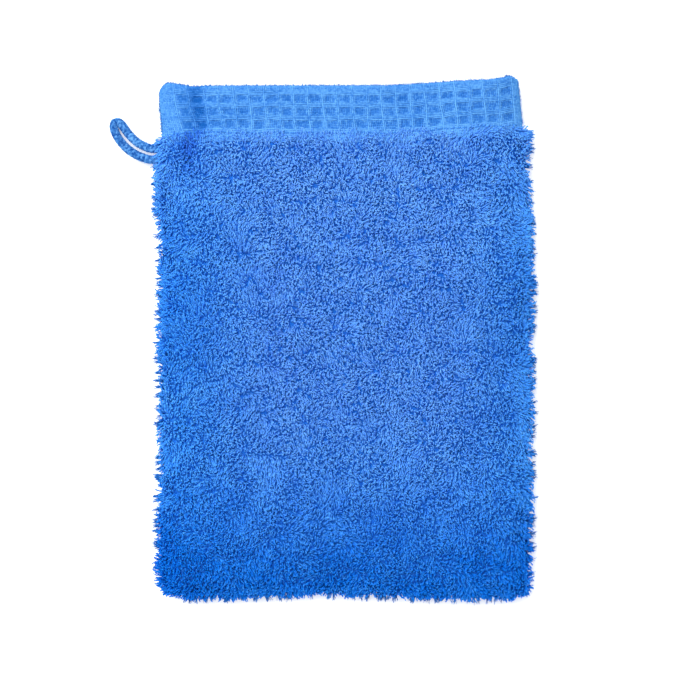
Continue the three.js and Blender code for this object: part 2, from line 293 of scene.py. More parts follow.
def tubes(paths, radius, sides, flat=(0.0, 0.0, 1.0)):
    """The points of closed tubes along equally long paths, the four-sided faces of their skins,
    and the rings of points round their two ends. radius is a number, or an array with one for
    each point of each path. flat is a direction, or one for each path, that the first axis of
    the cross-sections stays square to."""
    count, steps = paths.shape[:2]
    tangent = unit(np.gradient(paths, axis=1))
    across = unit(np.cross(tangent, np.broadcast_to(flat, (count, 3))[:, None]))
    up = np.cross(across, tangent)
    angle = np.linspace(0, 2 * math.pi, sides, endpoint=False)
    size = np.broadcast_to(radius, (count, steps))[..., None, None]
    ring = across[:, :, None] * np.cos(angle)[:, None] + up[:, :, None] * np.sin(angle)[:, None]
    points = paths[:, :, None] + size * ring
    index = np.arange(count * steps * sides).reshape(count, steps, sides)
    skin = quads(index, wrap=True)
    caps = [index[:, 0, ::-1], index[:, -1, :]]
    return points, skin, caps


def halved(skin):
    """The triangles that four-sided faces are cut into."""
    return np.concatenate([skin[:, [0, 1, 2]], skin[:, [0, 2, 3]]])


def fan_caps(caps, first_new):
    """Faces for the ends of many-sided tubes, round a new point at each end's middle."""
    rings = np.concatenate(caps)
    middle = first_new + np.arange(len(rings))
    following = np.roll(rings, -1, axis=1)
    hub = np.broadcast_to(middle[:, None], rings.shape)
    return np.stack([hub, rings, following], -1).reshape(-1, 3)


def tube_piece(name, paths, radius, sides, looks, **attributes):
    """A piece of closed round tubes. Each attribute is one number, or an array with one for each
    point of each path."""
    points, skin, caps = tubes(paths, radius, sides)
    flat = points.reshape(-1, 3)
    rings = np.concatenate(caps)
    middles = flat[rings].mean(1)
    triangles = np.concatenate([halved(skin), fan_caps(caps, len(flat))])
    spread = {}
    for key, values in attributes.items():
        ringed = np.repeat(np.full(paths.shape[:2], values, float), sides)
        spread[key] = np.concatenate([ringed, ringed[rings[:, 0]]])
    everything = np.concatenate([flat, middles])
    return make_piece(name, everything, triangles, looks, **spread)


HAIR_STEPS, HAIR_SIDES = 5, 4


def make_hairs(name, roots, ways, length, radius, looks, body, seed, scatter=0.3):
    """Single fine fibres that stand out from the roots, each tapered and bent its own way.
    length and radius are each the least and the most, in mm, and scatter is how far the fibres
    turn away from their ways."""
    rng = np.random.default_rng(seed)
    count = len(roots)
    share = np.linspace(0, 1, HAIR_STEPS)[None, :, None]
    reach = rng.uniform(*length, (count, 1, 1))
    ways = unit(ways + rng.normal(0, scatter, (count, 3)))[:, None]
    bend = rng.normal(0, 1.2 * scatter, (count, 1, 3))
    paths = roots[:, None] + reach * (ways * share + bend * share**2)
    taper = 1 - 0.6 * share[..., 0]
    radius = rng.uniform(*radius, (count, 1)) * taper
    paths[..., 2] = np.maximum(paths[..., 2], radius + 0.05)
    tone = np.repeat(rng.uniform(0, 0.5, count), HAIR_STEPS * HAIR_SIDES)
    flat = unit(np.cross(ways[:, 0], [0.3, 0.2, 1.0]))
    points, skin, caps = tubes(paths, radius, HAIR_SIDES, flat)
    faces = np.concatenate([skin, *caps])
    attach(make_piece(name, points, faces, looks, tone=tone), body)


# ---- Materials ----

VIOLET = (0.068, 0.015, 0.0, 1)  # what the violet attribute adds to a colour
SHEEN_TINT = (0.03, 0.60, 1.0, 1)


def feed(tree, socket, value):
    """Links a node's input to another node's output, or sets it to a number or a colour."""
    if isinstance(value, bpy.types.NodeSocket):
        tree.links.new(value, socket)
    else:
        socket.default_value = value


def add_node(tree, kind, settings=None, **inputs):
    """A new node. An input's name has _ for a space, and its value is a number or a socket."""
    node = tree.nodes.new(kind)
    for key, value in (settings or {}).items():
        setattr(node, key, value)
    for key, value in inputs.items():
        feed(tree, node.inputs[key.replace("_", " ")], value)
    return node


def maths(tree, operation, first, second):
    """A new maths node's result."""
    node = tree.nodes.new("ShaderNodeMath")
    node.operation = operation
    for socket, value in zip(node.inputs, (first, second)):
        feed(tree, socket, value)
    return node.outputs[0]


def centred_noise(tree, place, size, amount):
    """Noise about 0, with blotches of that size in mm."""
    noise = add_node(tree, "ShaderNodeTexNoise", Vector=place, Scale=1 / (size * MM), Detail=3.0)
    return maths(tree, "MULTIPLY", maths(tree, "SUBTRACT", noise.outputs["Fac"], 0.5), amount)


def colour_ramp(tree, position, colours):
    """A colour picked from evenly spaced stops, where position is from 0 to 1."""
    ramp = add_node(tree, "ShaderNodeValToRGB", Fac=position)
    stops = ramp.color_ramp.elements
    while len(stops) < len(colours):
        stops.new(0.5)
    for i, colour in enumerate(colours):
        stops[i].position = i / (len(colours) - 1)
        stops[i].color = (*colour, 1)
    return ramp.outputs["Color"]


def thread_waves(tree, place, direction, pitch):
    """Ripples across the threads of a weave."""
    settings = {"bands_direction": direction}
    scale = 0.314 / (pitch * MM)
    wave = add_node(tree, "ShaderNodeTexWave", settings, Vector=place, Scale=scale, Distortion=0.6)
    return maths(tree, "MULTIPLY", wave.outputs["Fac"], 0.7)


def cotton(name, slot, colours, fibre, weave=None, sheen=0.2, roughness=0.85):
    """Dyed cotton, and the slot it is for. The piece's "tone" attribute picks the colour from dark
    to light, its "violet" attribute adds red, and noise varies both. fibre is the size of the
    fuzz's bumps and weave the pitch of the threads, in mm."""
    material = bpy.data.materials.new(name)
    material.use_nodes = True
    tree = material.node_tree
    tree.nodes.clear()
    place = tree.nodes.new("ShaderNodeTexCoord").outputs["Object"]
    tone, violet = (
        add_node(tree, "ShaderNodeAttribute", {"attribute_name": word}).outputs["Fac"]
        for word in ("tone", "violet")
    )
    fuzz = centred_noise(tree, place, fibre, 1.0)
    flecks = maths(tree, "MULTIPLY", fuzz, 0.35)
    varied = maths(tree, "ADD", flecks, centred_noise(tree, place, 16, 0.2))
    dye = colour_ramp(tree, maths(tree, "ADD", tone, varied), colours)
    mix = {"blend_type": "ADD"}
    redder = add_node(tree, "ShaderNodeMixRGB", mix, Fac=violet, Color1=dye, Color2=VIOLET)
    height = fuzz
    if weave:
        for direction in ("X", "Y"):
            height = maths(tree, "ADD", height, thread_waves(tree, place, direction, weave))
    bump = add_node(tree, "ShaderNodeBump", Height=height, Strength=0.6, Distance=0.15 * MM)
    surface = add_node(
        tree,
        "ShaderNodeBsdfPrincipled",
        Base_Color=redder.outputs["Color"],
        Roughness=maths(tree, "ADD", roughness, maths(tree, "MULTIPLY", fuzz, 0.12)),
        Normal=bump.outputs["Normal"],
        Sheen_Weight=sheen,
        Sheen_Roughness=0.45,
        Sheen_Tint=SHEEN_TINT,
        Specular_IOR_Level=0.0,
    )
    out = tree.nodes.new("ShaderNodeOutputMaterial")
    tree.links.new(surface.outputs[0], out.inputs["Surface"])
    return material, slot


PILE_COTTON = cotton(
    "terry_pile", "terry_cotton",
    [(0.0, 0.095, 0.65), (0.006, 0.215, 0.86), (0.075, 0.40, 1.0), (0.21, 0.56, 1.0)],
    fibre=0.5,
)
# Darker than the pile's cotton: painted shade on the yarn ends at the outline, which face out and down,
# away from the light.
SHADED_FRINGE_COTTON = cotton(
    "shaded_yarn_ends", "terry_cotton",
    [(0.01, 0.10, 0.40), (0.07, 0.34, 0.85)],
    fibre=0.4, sheen=0.05, roughness=0.8,
)
# Darker than the pile's cotton: painted shade on the ground cloth that shows between the loops.
GROUND_COTTON = cotton(
    "terry_ground", "terry_cotton",
    [(0.008, 0.11, 0.52), (0.030, 0.23, 0.78)],
    fibre=0.6, weave=0.9, sheen=0.1,
)
WAFFLE_COTTON = cotton(
    "waffle_weave", "waffle_cotton",
    [(0.010, 0.11, 0.42), (0.044, 0.20, 0.58), (0.125, 0.37, 0.75)],
    fibre=0.45, sheen=0.1,
)
CORD_COTTON = cotton(
    "braided_cord", "loop_cord",
    [(0.006, 0.05, 0.24), (0.04, 0.165, 0.46), (0.12, 0.32, 0.67)],
    fibre=0.4, sheen=0.1,
)
THREAD_COTTON = cotton(
    "sewing_thread", "sewing_thread",
    [(0.02, 0.13, 0.5), (0.06, 0.26, 0.70)],
    fibre=0.3, roughness=0.7,
)


# ---- Camera and light ----

FRAME_WIDTH = 279.1  # what the picture takes in, at the height of the mitt
FRAME_CENTRE = (-1.9, -0.4)
FRAME_HEIGHT = 8.0  # the height above the floor at which the picture is that wide
# The floor glows a little besides reflecting: painted light that lifts the shadows on it.
FLOOR_LOOKS = {
    "Base Color": (0.97, 0.97, 0.97, 1),
    "Roughness": 0.9,
    "Specular IOR Level": 0.1,
    "Emission Color": (1, 1, 1, 1),
    "Emission Strength": 0.25,
}


def make_camera():
    """A long lens straight above the mitt, with the mouth at the top of the picture."""
    data = bpy.data.cameras.new("camera")
    data.lens = 110
    data.sensor_width = 36
    distance = FRAME_WIDTH / 2 * data.lens / (data.sensor_width / 2)
    camera = add_object("camera", data)
    camera.location = [v * MM for v in (*FRAME_CENTRE, distance + FRAME_HEIGHT)]
    bpy.context.scene.camera = camera


def add_lamp(name, place, size, watts):
    """A square soft light that faces the mitt."""
    data = bpy.data.lights.new(name, "AREA")
    data.size = size
    data.energy = watts
    lamp = add_object(name, data)
    lamp.location = place
    aim = -lamp.location
    lamp.rotation_mode = "QUATERNION"
    lamp.rotation_quaternion = aim.to_track_quat("-Z", "Y")


def make_studio():
    """An even white sky, with one soft light from beyond the mouth."""
    scene = bpy.context.scene
    scene.view_settings.view_transform = "Standard"
    world = bpy.data.worlds.new("sky")
    world.use_nodes = True
    sky = world.node_tree.nodes["Background"]
    sky.inputs["Color"].default_value = (1, 1, 1, 1)
    sky.inputs["Strength"].default_value = 0.84
    scene.world = world
    add_lamp("key_light", (-0.4, 0.45, 1.0), 1.0, 15)


def make_floor():
    """A plain white floor that glows a little, painted light that lifts its shadows, well past the
    edges of every view.
    """
    white = bpy.data.materials.new("glowing_white_floor")
    white.use_nodes = True
    surface = white.node_tree.nodes["Principled BSDF"]
    for key, value in FLOOR_LOOKS.items():
        surface.inputs[key].default_value = value
    half = 3000 * MM
    corners = [(-half, -half, 0), (half, -half, 0), (half, half, 0), (-half, half, 0)]
    mesh = bpy.data.meshes.new("floor")
    mesh.from_pydata(corners, [], [(0, 1, 2, 3)])
    mesh.materials.append(white)
    floor = add_object("floor", mesh)


# ---- Hanging loop ----

CORD_WIDTH, CORD_HEIGHT = 1.02, 0.8  # its cross-section, as shares of its diameter
CORD_SIDES = 32
STRANDS = 4  # strands that wind each way round the cord
CORD_HAIRS = 420


def braid_points(line, radius, sides, width=1.0, height=1.0):
    """The points and faces of a closed braided tube along a line, and each point's tone: two sets
    of strands cross over each other in small diamonds, with a little fuzz."""
    tangent = unit(np.gradient(line, axis=0))
    across = unit(np.cross(tangent, [0.0, 0.0, 1.0])) * width
    up = unit(np.cross(across, tangent)) * height
    angle = np.linspace(0, 2 * math.pi, sides, endpoint=False)[None, :]
    climb = distances_along(line)[:, None] * math.pi / (0.9 * radius)
    strands = np.sin(STRANDS * angle + climb) * np.sin(STRANDS * angle - climb)
    fuzz = smooth_noise(SEED + 15, 0.45)(climb * radius, angle * radius * 3)
    size = radius * (1 + 0.05 * strands + 0.045 * fuzz)
    ring = across[:, None] * np.cos(angle)[..., None] + up[:, None] * np.sin(angle)[..., None]
    points = (line[:, None] + size[..., None] * ring).reshape(-1, 3)
    index = np.arange(len(points)).reshape(len(line), sides)
    skin = quads(index, wrap=True)
    ends = fan_caps([index[None, 0, ::-1], index[None, -1]], len(points))
    faces = np.concatenate([halved(skin), ends])
    patches = smooth_noise(SEED + 16, 2.2)(climb * radius, angle * radius * 3)
    # Painted shade: lighter on the raised strands and darker where they sink between each other; the
    # fuzz and patches vary it at random.
    tone = (0.55 + 0.12 * strands + 0.4 * fuzz + 0.6 * patches).ravel()
    return np.concatenate([points, line[[0, -1]]]), faces, np.concatenate([tone, [0.3, 0.3]])


def make_hanging_loop():
    """The cord from root to root, and the fuzz on it."""
    line = spline(np.array((ROOT_IN, *LOOP_ROUTE, ROOT_OUT)) / MM, 18)
    sizes = (CORD_DIAMETER / 2, CORD_SIDES, CORD_WIDTH, CORD_HEIGHT)
    points, faces, tone = braid_points(line, *sizes)
    loop = make_piece("cord_loop", points, faces, CORD_COTTON, tone=tone)
    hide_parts("hanging_loop")
    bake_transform(loop)
    make_cord_fuzz(line, points)


def make_cord_fuzz(line, points):
    """Short fibres all over the part of the cord that swings as one."""
    middle = np.repeat(line, CORD_SIDES, axis=0)
    skin = points[: len(middle)]
    free = np.flatnonzero(skin[:, 0] < -82.5)
    chosen = np.random.default_rng(SEED + 21).permutation(free)[:CORD_HAIRS]
    outward = unit(skin - middle)[chosen]
    roots = skin[chosen] - 0.1 * outward
    sizes = ((0.25, 0.7), (0.03, 0.05))
    make_hairs("cord_fuzz", roots, outward, *sizes, CORD_COTTON, "loop", SEED + 22)


def joined(parts):
    """The points, faces and tones of several meshes as those of one."""
    starts = np.cumsum([0] + [len(points) for points, _, _ in parts])
    points = np.concatenate([points for points, _, _ in parts])
    faces = np.concatenate([faces + start for (_, faces, _), start in zip(parts, starts)])
    return points, faces, np.concatenate([tone for _, _, tone in parts])


def make_loop_anchor():
    """The cord's two flattened ends inside the seam, and the bars of thread across them."""
    low, high = node_box("loop_anchor")
    parts = []
    for y in LOOP_ROOTS:
        line = np.linspace((low[0] + 1.4, y, SEAM_HEIGHT), (high[0], y, SEAM_HEIGHT), 32)
        parts.append(braid_points(line, 1.7, 20, height=0.65))
    along = np.linspace(LOOP_ROOTS[1] - 1.2, LOOP_ROOTS[0] + 1.2, 12)
    for i, x in enumerate(np.linspace(low[0] + 5, low[0] + 7, 5)):
        lift = 1.25 if i % 2 else 1.15  # the bars lie a little higher and lower by turns
        line = np.array([(x, y, SEAM_HEIGHT + lift) for y in along])
        parts.append(braid_points(line, 0.25, 8))
    points, faces, tone = joined(parts)
    anchor = make_piece("cord_ends", points, faces, CORD_COTTON, tone=tone)
    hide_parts("loop_anchor")
    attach(anchor, "mitt")


# ---- Ground cloth ----

COLUMNS, ROWS = 69, 81
GROUND_THICKNESS = 0.7
SETTLE_FRAMES = 18
SETTLE_REACH = 0.7  # how far any point may move while the cloth settles
CLOTH_SETTINGS = {
    "quality": 6,
    "mass": 0.02,
    "tension_stiffness": 8,
    "compression_stiffness": 8,
    "shear_stiffness": 3,
    "bending_stiffness": 0.05,
    "shrink_min": -0.015,
    "use_pressure": True,
    "uniform_pressure_force": 0.25,
}


def ground_grids():
    """The two panels' ground cloth before it settles: grids of points that share three edges."""
    u = np.linspace(-1, 1, COLUMNS)
    v = np.linspace(0, 1, ROWS)
    across = HALF_WIDTH * (0.7 * u + 0.3 * np.sin(math.pi / 2 * u))
    along = (BORDER_START + 0.8 - BOTTOM) * (0.8 * v + 0.2 * (1 - np.cos(math.pi / 2 * v)))
    x, y = np.meshgrid(across, BOTTOM + along)
    corner = np.where(x < 0, LEFT_CORNER, RIGHT_CORNER)
    cut = np.clip(BOTTOM + corner - y, 0, corner)
    x = x * (HALF_WIDTH - corner + np.sqrt(corner**2 - cut**2)) / HALF_WIDTH
    y = y + (pile_top(x) - BORDER_START) * v[:, None] ** 6
    distance = np.maximum(seam_distance(x, y), 0)
    distance[0], distance[:, 0], distance[:, -1] = 0, 0, 0
    front = SEAM_HEIGHT + (GROUND_TOP - SEAM_HEIGHT) * crown(distance, 31)
    back = SEAM_HEIGHT - (SEAM_HEIGHT - GROUND_BACK) * crown(distance, 9)
    sideways, upward = stray(x, y)
    x, y = x + sideways, y + upward
    return np.stack([x, y, front], -1), np.stack([x, y, back], -1)


def add_cloth(piece, held):
    """Makes a piece a thin cloth with a little air inside it, fixed at its held points."""
    piece.vertex_groups.new(name="held").add(held.tolist(), 1.0, "REPLACE")
    cloth = piece.modifiers.new("cloth", "CLOTH")
    cloth.point_cache.frame_end = SETTLE_FRAMES
    cloth.settings.vertex_group_mass = "held"
    cloth.settings.effector_weights.gravity = 0.3
    for key, value in CLOTH_SETTINGS.items():
        setattr(cloth.settings, key, value)


def simulated(piece):
    """Where a piece's points lie after its cloth has settled."""
    scene = bpy.context.scene
    for number in range(1, SETTLE_FRAMES + 1):
        scene.frame_set(number)
    settled = piece.evaluated_get(bpy.context.evaluated_depsgraph_get()).data
    moved = np.empty(len(settled.vertices) * 3, np.float32)
    settled.vertices.foreach_get("co", moved)
    scene.frame_set(1)
    return moved.reshape(-1, 3) / MM


def settle(front, back):
    """Lets the two panels, sewn together at their shared edges, settle as cloth, and returns them
    as they lie. No point moves far from where it started."""
    upper = np.arange(ROWS * COLUMNS).reshape(ROWS, COLUMNS)
    lower = upper + upper.size
    shared = np.zeros((ROWS, COLUMNS), bool)
    shared[0], shared[:, 0], shared[:, -1] = True, True, True
    lower = np.where(shared, upper, lower)
    start = np.concatenate([front.reshape(-1, 3), back.reshape(-1, 3)])
    wobble = smooth_noise(SEED + 1, 9.0)
    start[:, 2] += 0.25 * wobble(*start[:, :2].T)
    faces = np.concatenate([quads(upper), quads(lower)[:, ::-1]])
    piece = make_piece("settling", start, faces, GROUND_COTTON)
    held = np.unique(np.concatenate([upper[shared], upper[-1], lower[-1]]))
    add_cloth(piece, held)
    shift = simulated(piece) - start
    bpy.data.objects.remove(piece)
    far = np.linalg.norm(shift, axis=1, keepdims=True)
    shift *= np.tanh(far / SETTLE_REACH) * SETTLE_REACH / np.maximum(far, 1e-6)
    end = start + shift
    return end[upper.ravel()].reshape(front.shape), end[lower.ravel()].reshape(back.shape)


def make_ground(name, node, grid):
    """One panel's ground cloth."""
    points, faces = thick_sheet(grid, GROUND_THICKNESS)
    cloth = make_piece(name, points, faces, GROUND_COTTON, tone=0.5)
    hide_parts(node)
    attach(cloth, "mitt")


# ---- Pile ----

LOOP_STEPS = 8
THROWS = 7  # points thrown for each one that is kept
# How steeply loops lean: with their close neighbours, in broad sweeps and each its own way.
COMBED, SWEPT, UNRULY = 0.72, 0.4, 0.26
COMB_CELL, SWEEP_CELL = 5.2, 30.0  # how large an area leans alike
YARN_RADIUS = (0.14, 0.205)
LOOP_WIDTH = (0.3, 0.65)
LOOP_HEIGHT = (0.75, 1.12)  # as shares of the pile's height
TUFTS, TUFT_ENDS, TUFT_WIDTH = 0.52, 8, 0.5  # tufts per mm, yarn ends in each and their spread
TUFT_REACH = (3.3, 4.6)
# Faint deeper patches on the left: how deep, the middle's x and y, and how wide and how long.
DEEP_PATCHES = ((0.07, -62, 14, 14, 26), (0.06, -50, -70, 11, 15))


def spots_on(grid, spacing, rng):
    """Points spread evenly over a grid's surface, about spacing apart, with their normals. Of many
    points thrown on it, the one nearest the middle of each cell is kept."""
    normal = normals_of(grid)
    corners = [grid[:-1, :-1], grid[:-1, 1:], grid[1:, 1:], grid[1:, :-1]]
    area = np.linalg.norm(np.cross(corners[2] - corners[0], corners[3] - corners[1]), axis=-1) / 2
    count = int(area.sum() / spacing**2 * THROWS)
    i, j = np.unravel_index(rng.choice(area.size, count, p=(area / area.sum()).ravel()), area.shape)
    s, t = rng.uniform(0, 1, (2, count, 1))

    def between(values):
        low = values[i, j] * (1 - s) + values[i, j + 1] * s
        high = values[i + 1, j] * (1 - s) + values[i + 1, j + 1] * s
        return low * (1 - t) + high * t

    spots, facing = between(grid), unit(between(normal))
    rows, steepest = np.arange(count), np.abs(facing).argmax(1)
    cell = np.floor(spots / spacing)
    off = spots / spacing - cell - 0.5
    off[rows, steepest], cell[rows, steepest] = 0, 1000 * (1 + steepest)
    nearest = np.argsort((off**2).sum(1), kind="stable")
    _, first = np.unique(cell[nearest], axis=0, return_index=True)
    chosen = np.sort(nearest[first])
    return spots[chosen], facing[chosen]


def noise_pair(seed, cell, x, y):
    """Two smooth noises, for leaning along x and along y."""
    return np.stack([smooth_noise(seed + i, cell)(x, y) for i in range(2)], -1)


def loop_outlines(height, edge, rng):
    """How far up, sideways and outward each point of each loop is, and its rise from 0 to 1. The
    loops are taller where edge is 1."""
    count = len(edge)
    share = np.linspace(0, 1, LOOP_STEPS)
    rise = np.sin(math.pi * share) ** 0.75
    width = rng.uniform(*LOOP_WIDTH, (count, 1)) * np.cos(math.pi * share) / 2
    width = width * (0.75 + 0.45 * rise)
    twist = rng.normal(0, 1.0, (count, 1)) * rise
    sway = 0.2 * np.sin(rng.uniform(0, 2 * math.pi, (count, 1)) + 15 * share) * rise
    up = height * rng.uniform(*LOOP_HEIGHT, (count, 1)) * (1 + 0.24 * edge) * rise
    return up, width * np.cos(twist) + sway, width * np.sin(twist) + 0.6 * sway, rise


def pile_loops(spots, facing, height, rng):
    """The middle lines of yarn loops that grow from the spots, with neighbours combed alike, a
    direction square to each loop, and how far up its loop each point is, from 0 to 1."""
    count = len(spots)
    x, y = spots[:, 0], spots[:, 1]
    comb = noise_pair(SEED + 2, COMB_CELL, x, y)
    broad = noise_pair(SEED + 4, SWEEP_CELL, x, y)
    edge = 1 - soft_step(seam_distance(x, y), 0, 4)[:, None]
    top = soft_step(y - pile_top(x), -4, 0)[:, None]

    def along_cloth(lean):
        lean = np.concatenate([lean * (1, 1.5), np.zeros((count, 1))], 1)
        return square_to(facing, lean) * (1 - 0.65 * edge)

    combed = along_cloth(COMBED * comb + SWEPT * broad)
    tilt = combed + along_cloth(rng.normal(0, UNRULY, (count, 2)) + top * (0, 0.10))
    grow = unit(facing + tilt)
    roots = spots - 0.35 * height * combed * (1 - edge) * (1 - top)
    spread = unit(square_to(grow, rng.normal(0, 1, (count, 3)) * (0.6, 1.2, 1.0)))
    third = np.cross(grow, spread)
    up, sideways, outward, rise = loop_outlines(height, edge, rng)
    droop = 0.035 * up**2
    paths = (
        roots[:, None]
        + grow[:, None] * up[..., None]
        + spread[:, None] * sideways[..., None]
        + third[:, None] * outward[..., None]
        + (unit(tilt) - 0.4 * facing)[:, None] * droop[..., None]
    )
    return paths, third, rise


def broad_tone_and_painted_shade(x, y):
    """How light the cloth is across the mitt: even in the middle, a little darker along both sides and
    in a few faint patches, darker with painted shade towards its foot and in the hollow by the left
    seam, and lighter with painted light towards the mouth."""
    # Painted shade: darker towards the foot and a little lighter towards the mouth, as if lit from
    # beyond the mouth.
    foot = 0.265 * (1 - soft_step(y, BOTTOM, BOTTOM + 66)) - 0.05 * soft_step(y, 10, 70)
    sides = 0.05 * soft_step(np.abs(x), 45, 78)
    tone = 0.04 * smooth_noise(SEED + 10, 14.0)(x, y) + 0.035 * smooth_noise(SEED + 28, 5.0)(x, y)
    for deep, middle_x, middle_y, wide, long in DEEP_PATCHES:
        off = ((x - middle_x) / wide) ** 2 + ((y - middle_y) / long) ** 2
        tone = tone - deep * np.exp(-off)
    # Painted shade in the hollow by the left seam.
    return tone - foot - sides - 0.23 * corner_dip(x, y)


def violet_tone(x, y):
    """How far the blue leans towards violet: most in the middle, and not at all at the foot."""
    sides = soft_step(np.abs(x - 6), 30, 78) * (1 - 0.5 * soft_step(y, 20, 90))
    return (1 - 0.9 * sides) * soft_step(y, BOTTOM, BOTTOM + 90)


def pile_piece(name, paths, flat, radius, tone):
    """One band of loops as a piece."""
    points, skin, caps = tubes(paths, radius, 3, flat)
    faces = np.concatenate([halved(skin), *caps])
    violet = np.repeat(violet_tone(paths[..., 0], paths[..., 1]), 3)
    tone = np.repeat(tone, 3)
    piece = make_piece(name, points, faces, PILE_COTTON, tone=tone, violet=violet)
    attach(piece, "mitt")


def make_pile(name, grid, spacing, height, bands, lowest, keep, seed):
    """Loops all over a grid's surface, where keep allows them, in several bands from its foot to
    its mouth. No loop reaches below the height lowest."""
    rng = np.random.default_rng(seed)
    spots, facing = spots_on(grid, spacing, rng)
    kept = keep(spots)
    spots, facing = spots[kept], facing[kept]
    paths, flat, rise = pile_loops(spots, facing, height, rng)
    radius = rng.uniform(*YARN_RADIUS, (len(spots), 1))
    paths[..., 2] = np.maximum(paths[..., 2], lowest + radius)
    own = rng.normal(0, 0.06, (len(spots), 1))
    # Painted shade: each loop is darker towards its root, down among its neighbours, on top of the
    # broad tone and painted shade.
    tone = 0.53 + 0.12 * rise + own + broad_tone_and_painted_shade(spots[:, :1], spots[:, 1:2])
    for i, part in enumerate(np.array_split(np.argsort(spots[:, 1]), bands)):
        pile_piece(f"{name}_{i + 1}", paths[part], flat[part], radius[part], tone[part])


def clear_of_cord(spots):
    """True for the spots below the border that leave the hanging loop room to come out."""
    near = [np.hypot(spots[:, 1] - y, spots[:, 2] - SEAM_HEIGHT) < 1.5 for y in LOOP_ROOTS]
    past = spots[:, 1] > pile_top(spots[:, 0]) + 0.5
    return ~past & ~((near[0] | near[1]) & (spots[:, 0] < 5 - HALF_WIDTH))


def make_fringe(grid):
    """Tufts of yarn ends that stand out past the pile, all along the two sides and the foot. The
    ends in a tuft have roots side by side and lean towards one tip."""
    rng = np.random.default_rng(SEED + 16)
    sides = ((grid[:, 0], (-1, 0, 0)), (grid[:, -1], (1, 0, 0)), (grid[0], (0, -1, 0)))
    roots, ways = [], []
    for line, way in sides:
        length = distances_along(line)[-1]
        middles = rng.uniform(0, length - 5, int(length * TUFTS))[:, None]
        at = middles + rng.normal(0, TUFT_WIDTH, (len(middles), TUFT_ENDS))
        spots = points_along(line, at)
        spots[..., 2] += rng.uniform(-1.8, 1.8, middles.shape) + rng.normal(0, 0.3, at.shape)
        lean = unit(way + rng.normal(0, 0.3, (len(middles), 1, 3)))
        tips = spots.mean(1, keepdims=True)
        tips = tips + rng.uniform(*TUFT_REACH, (len(middles), 1, 1)) * lean
        spots, towards = spots.reshape(-1, 3), (tips - spots).reshape(-1, 3)
        kept = clear_of_cord(spots)
        roots.append(spots[kept])
        ways.append(unit(towards[kept]))
    roots, ways = np.concatenate(roots), np.concatenate(ways)
    sizes = ((3.1, 4.4), (0.16, 0.26))
    make_hairs("edge_fringe", roots, ways, *sizes, SHADED_FRINGE_COTTON, "mitt", SEED + 17, 0.07)


def along_seams(spots):
    """True for the spots near the seams, where the pile stands outward and would look thin."""
    return clear_of_cord(spots) & (seam_distance(spots[:, 0], spots[:, 1]) < 4.5)


def near_mouth(spots):
    """True for the spots that can be seen from the mouth, away from the seams inside it."""
    return (spots[:, 1] > BORDER_START - 48) & (np.abs(spots[:, 0]) < HALF_WIDTH - 11)


def make_terry():
    """The two panels: their ground cloth, their pile and the yarn ends along their edges."""
    front, back = ground_grids()
    front, back = settle(front, back)
    # Towards the border both layers close in, to lie inside the border's cloth.
    top = soft_step(front[..., 1] - pile_top(front[..., 0]), -3, 0)
    front[..., 2] -= corner_dip(front[..., 0], front[..., 1]) + 1.3 * top
    back[..., 2] += 0.7 * top
    make_ground("front_ground_cloth", "front_terry_panel", front)
    make_ground("back_ground_cloth", "back_terry_panel", back)
    make_fringe(front)
    # For each pile: its grid, the spacing and height of its loops, its bands and its lowest point.
    make_pile("front_pile", front, 0.81, 3.3, 14, 0.3, clear_of_cord, SEED + 11)
    make_pile("edge_pile", front, 1.0, 3.2, 2, 0.3, along_seams, SEED + 27)
    make_pile("back_pile", back[:, ::-1], 1.25, 3.2, 8, 0.02, clear_of_cord, SEED + 12)
    make_pile("front_lining", front[:, ::-1], 1.9, 2.4, 1, 3.0, near_mouth, SEED + 13)
    make_pile("back_lining", back, 1.9, 2.4, 1, 2.0, near_mouth, SEED + 14)


# ---- Waffle borders ----

CELL_WIDTH, CELL_HEIGHT = 6.0, 5.4
FIRST_COLUMN, FIRST_ROW = -65.7, 4.5  # the middle of the first sunk cell, across and along
LAST_COLUMN = 22
THREADS = 8  # threads to a cell, each way
THREAD_RADIUS = 0.36
CELL_DEPTH = 0.5
FOLD_HAIRS, SIDE_HAIRS = 800, 130  # fibres along the folded edge and along each side edge
FOLD = 1.15  # radius of the folded edge at the mouth
TURN = BORDER_LENGTH - FOLD
MIDDLE = BORDER_LENGTH / 2
OVERLAP = 2.5  # how far the border's cloth goes on under the pile
# How far the folded edge strays from its even line: x, and how far it reaches out.
MOUTH_WANDER = (
    (-77, -2.2), (-75, -1.0), (-72.5, 0.3), (-70.5, 0.8), (-68, 0.3), (-65, -0.2),
    (-60, -0.8), (-50, -0.9), (-30, -0.85), (20, -0.75), (45, -0.65), (60, -0.8),
    (66, -0.4), (68.5, 0.3), (70, 0.0), (72, -0.8),
)


def border_edges(along):
    """Where the border's cloth ends on the left and on the right."""
    left = BORDER_LEFT - 0.2 + 0.8 * (1 - soft_step(along, 2, 14))
    return left, BORDER_RIGHT - BORDER_TAPER * along / BORDER_LENGTH


def border_height(side, x, along):
    """The height of a border's outer face. side is 1 for the front and -1 for the back."""
    left, right = border_edges(along)
    distance = np.maximum(np.minimum(x - left, right - x), 0)
    if side > 0:
        swell = SEAM_HEIGHT + (BORDER_HIGH[2] - SEAM_HEIGHT) * crown(distance, 30)
        return swell - corner_dip(x, BORDER_START + along) * soft_step(distance, 3, 10)
    return SEAM_HEIGHT - (SEAM_HEIGHT - 0.4) * crown(distance, 10)


